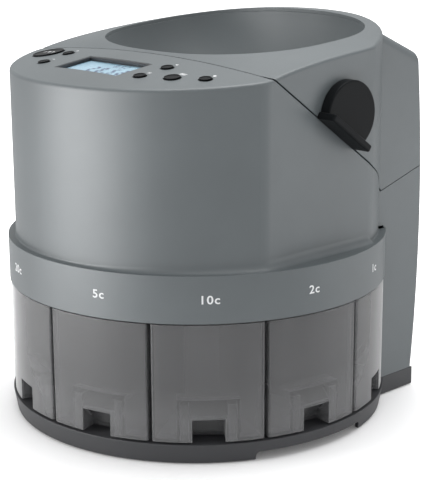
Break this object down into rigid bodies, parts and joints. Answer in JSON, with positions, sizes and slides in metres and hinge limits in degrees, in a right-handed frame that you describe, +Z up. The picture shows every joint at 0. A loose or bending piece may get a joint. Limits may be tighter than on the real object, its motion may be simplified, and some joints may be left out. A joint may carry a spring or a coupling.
{
  "type": "coin sorting machine",
  "caption": "Round desktop coin sorter with a hinged hopper top, sloping control panel, radial translucent coin bins under a denomination ring, and a rear tower.",
  "frame": {"origin": "axis of the round drum at the level of the table the feet rest on", "axes": "+Z up, -Y towards the operator at the control panel, +X to the operator's right"},
  "size_m": [0.303, 0.3075, 0.3075],
  "materials": {
    "housing_plastic": "fine satin moulded texture",
    "base_plastic": "fine matt moulded texture",
    "bin_plastic": "smoky translucent gloss",
    "knob_plastic": "satin",
    "socket_plastic": "satin",
    "rotor_plastic": "satin",
    "rubber": "matt",
    "steel": "brushed",
    "circuit_board": "solder mask",
    "display_glass": "clear gloss",
    "lcd_panel": "gloss"
  },
  "bodies": {
    "base": {"base_plate": "base_plastic", "rubber_feet": "rubber", "base_screws": "steel", "bin_bay": "base_plastic", "chute_deck": "base_plastic", "sorting_plate": "steel", "coin_rail": "base_plastic", "shaft_bearings": "steel", "drive_frame": "base_plastic", "drive_motor": "steel", "drive_belt": "rubber", "exit_sensors": "circuit_board", "sensor_board": "circuit_board", "front_housing": "housing_plastic", "rear_cover": "housing_plastic", "display_bezel": "base_plastic", "display_window": "display_glass", "lcd_module": "lcd_panel", "control_board": "circuit_board", "latch_catch": "base_plastic", "power_supply": "steel", "main_board": "circuit_board", "power_inlet": "socket_plastic", "switch_body": "socket_plastic", "data_port": "socket_plastic", "hinge_pin": "steel"},
    "sorter_drive": {"sorter_rotor": "rotor_plastic", "sorter_shaft": "steel", "shaft_pulley": "rotor_plastic"},
    "motor_rotor": {"motor_shaft": "steel", "motor_pulley": "rotor_plastic"},
    "hopper_unit": {"hopper_housing": "housing_plastic", "hopper_bowl": "housing_plastic", "hopper_gearmotor": "steel", "coin_spout": "base_plastic"},
    "hopper_rotor": {"hopper_disc": "rotor_plastic", "hopper_shaft": "steel"},
    "latch": {"latch_knob": "knob_plastic", "latch_cam": "knob_plastic"},
    "rocker": {"switch_rocker": "socket_plastic"},
    "coin_bin_1c": {"coin_bin_1c": "bin_plastic"},
    "coin_bin_2c": {"coin_bin_2c": "bin_plastic"},
    "coin_bin_10c": {"coin_bin_10c": "bin_plastic"},
    "coin_bin_5c": {"coin_bin_5c": "bin_plastic"},
    "coin_bin_20c": {"coin_bin_20c": "bin_plastic"},
    "coin_bin_1": {"coin_bin_1": "bin_plastic"},
    "coin_bin_50c": {"coin_bin_50c": "bin_plastic"},
    "coin_bin_2": {"coin_bin_2": "bin_plastic"},
    "start_stop_button": {"start_stop_button": "knob_plastic"},
    "left_rear_button": {"left_rear_button": "knob_plastic"},
    "left_front_button": {"left_front_button": "knob_plastic"},
    "right_front_button": {"right_front_button": "knob_plastic"},
    "right_rear_button": {"right_rear_button": "knob_plastic"},
    "menu_button": {"menu_button": "knob_plastic"},
    "right_end_button": {"right_end_button": "knob_plastic"}
  },
  "joints": [
    {"name": "hopper_hinge", "type": "hinge", "parent": "base", "child": "hopper_unit", "pos_m": [0, 0.1526, 0.187], "axis": [-1, 0, 0], "range_deg": [0, 65]},
    {"name": "latch_turn", "type": "hinge", "parent": "hopper_unit", "child": "latch", "pos_m": [0.1334, 0.024, 0.2462], "axis": [1, 0, 0], "range_deg": [-90, 0]},
    {"name": "hopper_disc_spin", "type": "hinge", "parent": "hopper_unit", "child": "hopper_rotor", "pos_m": [0, 0.038, 0.222], "axis": [0, 0, 1], "continuous": true},
    {"name": "sorter_spin", "type": "hinge", "parent": "base", "child": "sorter_drive", "pos_m": [0, 0, 0.15], "axis": [0, 0, 1], "continuous": true},
    {"name": "motor_spin", "type": "hinge", "parent": "base", "child": "motor_rotor", "pos_m": [0, 0.076, 0.12], "axis": [0, 0, 1], "continuous": true},
    {"name": "power_rocker", "type": "hinge", "parent": "base", "child": "rocker", "pos_m": [-0.022, 0.142, 0.044], "axis": [0, 0, 1], "range_deg": [-8, 8]},
    {"name": "bin_slide_1c", "type": "slide", "parent": "base", "child": "coin_bin_1c", "axis": [0.8973, 0.4415, 0], "range_m": [0, 0.095]},
    {"name": "bin_slide_2c", "type": "slide", "parent": "base", "child": "coin_bin_2c", "axis": [0.9925, -0.1219, 0], "range_m": [0, 0.095]},
    {"name": "bin_slide_10c", "type": "slide", "parent": "base", "child": "coin_bin_10c", "axis": [0.7638, -0.6455, 0], "range_m": [0, 0.095]},
    {"name": "bin_slide_5c", "type": "slide", "parent": "base", "child": "coin_bin_5c", "axis": [0.2857, -0.9583, 0], "range_m": [0, 0.095]},
    {"name": "bin_slide_20c", "type": "slide", "parent": "base", "child": "coin_bin_20c", "axis": [-0.2857, -0.9583, 0], "range_m": [0, 0.095]},
    {"name": "bin_slide_1", "type": "slide", "parent": "base", "child": "coin_bin_1", "axis": [-0.7638, -0.6455, 0], "range_m": [0, 0.095]},
    {"name": "bin_slide_50c", "type": "slide", "parent": "base", "child": "coin_bin_50c", "axis": [-0.9925, -0.1219, 0], "range_m": [0, 0.095]},
    {"name": "bin_slide_2", "type": "slide", "parent": "base", "child": "coin_bin_2", "axis": [-0.8973, 0.4415, 0], "range_m": [0, 0.095]},
    {"name": "start_stop_press", "type": "slide", "parent": "base", "child": "start_stop_button", "axis": [0.0823, 0.1387, -0.9869], "range_m": [0, 0.001], "stiffness_N_per_m": 400},
    {"name": "left_rear_press", "type": "slide", "parent": "base", "child": "left_rear_button", "axis": [0.0608, 0.1389, -0.9884], "range_m": [0, 0.001], "stiffness_N_per_m": 400},
    {"name": "left_front_press", "type": "slide", "parent": "base", "child": "left_front_button", "axis": [0.0565, 0.139, -0.9887], "range_m": [0, 0.001], "stiffness_N_per_m": 400},
    {"name": "right_front_press", "type": "slide", "parent": "base", "child": "right_front_button", "axis": [-0.0417, 0.1391, -0.9894], "range_m": [0, 0.001], "stiffness_N_per_m": 400},
    {"name": "right_rear_press", "type": "slide", "parent": "base", "child": "right_rear_button", "axis": [-0.0425, 0.139, -0.9894], "range_m": [0, 0.001], "stiffness_N_per_m": 400},
    {"name": "menu_press", "type": "slide", "parent": "base", "child": "menu_button", "axis": [-0.062, 0.1389, -0.9884], "range_m": [0, 0.001], "stiffness_N_per_m": 400},
    {"name": "right_end_press", "type": "slide", "parent": "base", "child": "right_end_button", "axis": [-0.0806, 0.1387, -0.987], "range_m": [0, 0.001], "stiffness_N_per_m": 400}
  ],
  "couplings": [
    {"joint": "motor_spin", "follows": "sorter_spin", "ratio": 4}
  ]
}
